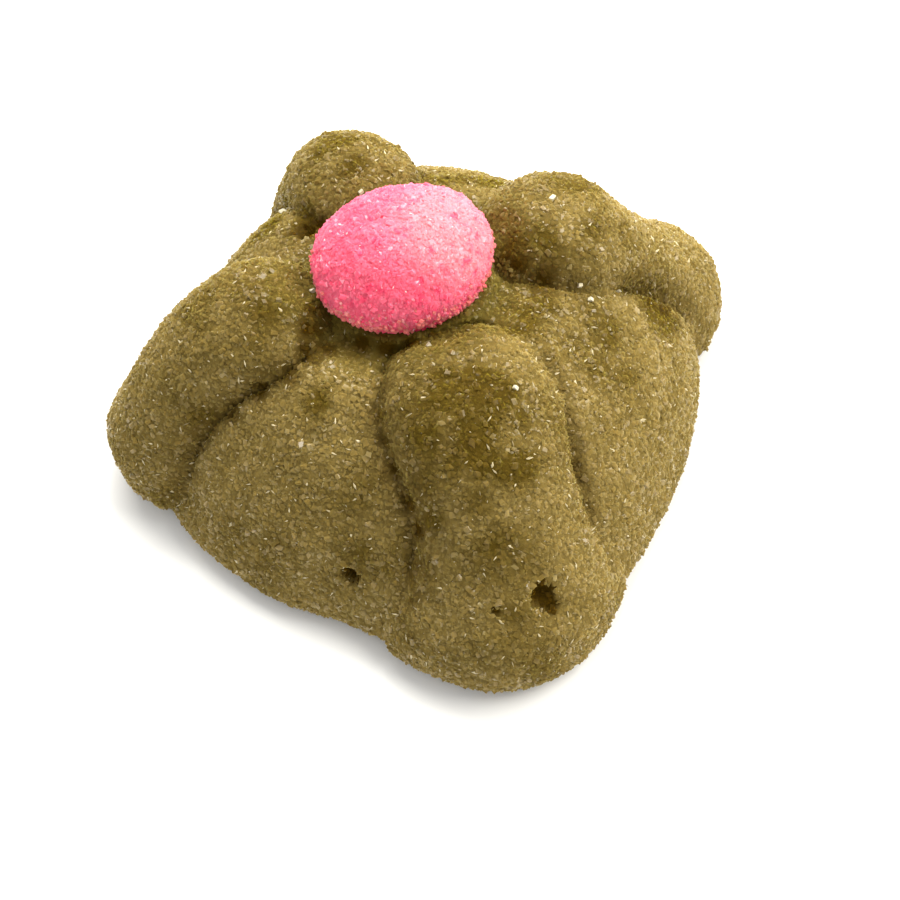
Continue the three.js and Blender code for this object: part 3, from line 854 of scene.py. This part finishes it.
# Periods are in mm, and shares say how far a mark or a cloudy pattern changes the crust.
# "gapShade" is how dark the skin is between the grains. Each glow is the distance in metres
# that red, green and blue light travels inside, and its share of the finish.
brownFinish = {
    "frosted": colour(0.182, 0.126, 0.033),
    # bare: the gummy where sugar is worn off, also used for painted shade on some worn patches and at the
    # foot
    "bare": colour(0.080, 0.051, 0.0055),
    # painted shade: the bare gummy darkened for creases, pits, the moat and the shaded spots
    "deep": colour(0.040, 0.021, 0.0006),
    "olive": colour(0.115, 0.092, 0.012),
    "whitest": colour(0.31, 0.24, 0.095),
    # partly clear sugar's own pale colour and partly painted glints
    "splinter": colour(0.56, 0.47, 0.27),
    "block": colour(0.68, 0.62, 0.44),
    "patchPeriod": 2.4, "patchShare": 1.5, "wornAndShadedShare": 1.6, "footShare": 0.12,
    "oliveShare": 0.55, "mottlePeriod": 0.7, "darkest": 0.76, "mottleShare": 0.48, "deepShare": 1.1,
    "gapShade": 0.55, "skinGlow": (0.0006, 0.00045, 0.0002), "skinGlowShare": 0.4,
    "grainGlow": (0.0003, 0.00025, 0.00015), "grainGlowShare": 0.5,
}
pinkFinish = {
    "frosted": colour(1.0, 0.122, 0.188),
    # painted light: the paler pink of the side that faces the right lamp
    "litPale": colour(1.0, 0.2, 0.235),
    "bare": colour(1.0, 0.04, 0.105),
    "blotch": colour(0.93, 0.035, 0.1),
    "whitest": colour(1.0, 0.42, 0.48),
    # partly clear sugar's own pale colour and partly painted glints
    "splinter": colour(1.0, 0.72, 0.72),
    "rim": colour(0.62, 0.18, 0.14),
    "patchPeriod": 1.3, "patchShare": 0.8, "clearShare": 0.5, "lowShare": 0.5, "litPaleShare": 0.4,
    "spotPeriod": 0.7, "spotSpan": (0.55, 0.72), "spotShare": 0.7,
    "gapShade": 0.75, "skinGlow": (0.0015, 0.0004, 0.0005), "skinGlowShare": 0.7,
    "grainGlow": (0.0003, 0.00015, 0.0002), "grainGlowShare": 0.5,
}


def brownCrust(wire):
    # the crust's colour: frosted, bare where it is worn, darker where shade is painted into some
    # worn patches and a little at the foot, greener beside the knob against the pink light that
    # falls there, finely mottled, and darkened by painted shade in hollows
    tints = brownFinish
    patch = (noise(wire, tints["patchPeriod"], 3) - 0.5) * tints["patchShare"]
    towardsBare = mark(wire, "wornAndShaded") * tints["wornAndShadedShare"] + patch + mark(wire, "foot") * tints["footShare"]
    crust = towardsBare.mixed(tints["frosted"], tints["bare"])
    greened = (mark(wire, "beside") * tints["oliveShare"]).mixed(crust, tints["olive"])
    mottle = tints["darkest"] + noise(wire, tints["mottlePeriod"], 2) * tints["mottleShare"]
    # painted shade: hollows take the darkened bare colour
    return (mark(wire, "hollowShade") * tints["deepShare"]).mixed(greened.scaled(mottle), tints["deep"])


def pinkCrust(wire):
    # frosted, with painted light that makes it paler on the side facing the right lamp, bare
    # below, with soft darker blotches, and duller in the fringe at the rim
    tints = pinkFinish
    patch = noise(wire, tints["patchPeriod"], 3)
    spots = noise(wire, tints["spotPeriod"], 2).ramped(*tints["spotSpan"])
    litPale = mark(wire, "litPale")
    frosted = (litPale + (patch - 0.5) * tints["patchShare"]).mixed(tints["frosted"], tints["litPale"])
    towardsBare = patch.ramped(0.3, 0.7) * tints["clearShare"] + mark(wire, "low") * tints["lowShare"]
    cleared = (towardsBare - litPale * tints["litPaleShare"]).mixed(frosted, tints["bare"])
    blotched = (spots * tints["spotShare"]).mixed(cleared, tints["blotch"])
    return mark(wire, "rim").mixed(blotched, tints["rim"])


# the fine patterns of every finish, in mm, and the skin's bump
texture = {
    "blotchPeriod": 0.45, "finePeriod": 0.18, "cloudPeriod": 0.25,
    "bumpStrength": 0.8, "bumpDepth": 0.1,
}


def skinFinish(name, crust, tints):
    # the gummy under the loose sugar: a fine damp crust with a small bump, softly lit within
    material, shader, wire = newFinish(name)
    blotch = noise(wire, texture["blotchPeriod"], 3)
    fine = noise(wire, texture["finePeriod"], 2)
    sockets = {"Strength": texture["bumpStrength"], "Distance": texture["bumpDepth"] * mm,
               "Height": blotch + fine * 0.6}
    bump = wire.node("ShaderNodeBump", {}, sockets)
    feed(shader, {
        "Base Color": crust(wire).scaled(tints["gapShade"] + blotch * 0.7),
        "Roughness": 0.5 + fine * 0.4,
        "Normal": bump,
        "Subsurface Weight": tints["skinGlowShare"],
        "Subsurface Radius": tints["skinGlow"],
        "Subsurface Scale": 1.0,
        "Specular IOR Level": 0.03,
        "IOR": 1.45,
    })
    return material


def clearFinish(name, crust, clearGlintColour, wetness):
    # clear slivers and blocks that catch the light, each from the crust's own colour to the
    # clearest by its pick, that pale colour partly clear sugar's own and partly painted glints;
    # less where shade is painted in hollows and on worn patches
    material, shader, wire = newFinish(name)
    pick = mark(wire, "pick")
    bright = pick.ramped(0.1, 0.9) * (1 - mark(wire, "hollowShade")) * (1 - mark(wire, "wornAndShaded") * 0.3)
    feed(shader, {
        "Base Color": bright.mixed(crust(wire), clearGlintColour),
        "Roughness": 0.3 + (1 - pick) * 0.3,
        "Coat Weight": (pick * wetness).clamped(),
        "Coat Roughness": 0.1,
        "Coat IOR": 1.5,
        "Specular IOR Level": 0.1,
        "IOR": 1.5,
    })
    return material


def sugarFinish(name, crust, tints, wetness):
    # damp crystals tinted by the crust they lie on, painted shade included, each a little darker
    # or lighter, a few nearly white; only the upper picks glint, and less where shade is painted
    # in hollows and on worn patches
    material, shader, wire = newFinish(name)
    pick = mark(wire, "pick")
    cloud = noise(wire, texture["cloudPeriod"], 2)
    tinted = crust(wire).scaled(0.74 + pick * 0.34 + cloud * 0.34)
    coveredAndLit = (1 - mark(wire, "wornAndShaded") * 0.7) * (1 - mark(wire, "hollowShade"))
    glinting = pick.ramped(0.55, 0.9) * wetness * coveredAndLit
    white = (pick - 0.95) * 10 * coveredAndLit
    feed(shader, {
        "Base Color": white.mixed(tinted, tints["whitest"]),
        "Roughness": 0.5 + (1 - pick) * 0.3,
        "Coat Weight": glinting.clamped(),
        "Coat Roughness": 0.12,
        "Coat IOR": 1.5,
        "Subsurface Weight": tints["grainGlowShare"],
        "Subsurface Radius": tints["grainGlow"],
        "Subsurface Scale": 1.0,
        "Specular IOR Level": 0.04,
        "IOR": 1.5,
    })
    return material


def grainFinish(name, crust, tints, shape):
    # the shapes that have a tint of their own are clear, their tints partly painted glints; the others
    # take the crust's colour
    wetness = grain["wetness"][shape]
    if shape in tints:
        return clearFinish(name, crust, tints[shape], wetness)
    return sugarFinish(name, crust, tints, wetness)


# ---- the whole

def makeCandy():
    # both skins, then every kind of sugar, spread by the weights of what it lies on
    skinPoints, skinMarks = makeSweet(skinFinish("brownSkin", brownCrust, brownFinish))
    knobPoints, knobMarks = makeKnob(skinFinish("pinkSkin", pinkCrust, pinkFinish))
    fromKnob = knobRadii(skinPoints - np.array([sweet["core"][0], sweet["core"][1], 0]))
    bodyWeight = easeStep(skinPoints[..., 2], *grain["floorHeights"])
    bodyWeight = bodyWeight * easeStep(fromKnob, *grain["knobCover"])
    for label, share in grain["thinned"].items():
        bodyWeight = bodyWeight * (1 - share * skinMarks[label])
    start, full = knob["sugarHeights"]
    seat = sweet["seatHeight"]
    knobWeight = easeStep(knobPoints[..., 2], seat + start, seat + full)
    fringe = bell(knobPoints[..., 2] - seat - knob["fringeHeight"], knob["fringeWidth"])
    rimWeight = fringe * knobWeight
    rimMarks = dict(knobMarks, rim=np.full(rimWeight.shape, knob["fringeTint"]))
    beds = {
        "sweet": (skinPoints, skinMarks, bodyWeight, "brown_gummy", brownCrust, brownFinish),
        "knob": (knobPoints, knobMarks, knobWeight, "pink_gummy", pinkCrust, pinkFinish),
        "rim": (knobPoints, rimMarks, rimWeight, "pink_gummy", pinkCrust, pinkFinish),
    }
    finishes = {}
    for name, kind in sugarKinds.items():
        points, marks, weights, slot, crust, tints = beds[kind["on"]]
        label = slot + "_" + kind["shape"]
        if label not in finishes:
            finishes[label] = grainFinish(label, crust, tints, kind["shape"])
        makeSugar(name, kind, points, marks, weights, finishes[label])


makeStudio()
makeCandy()
print("scene made")
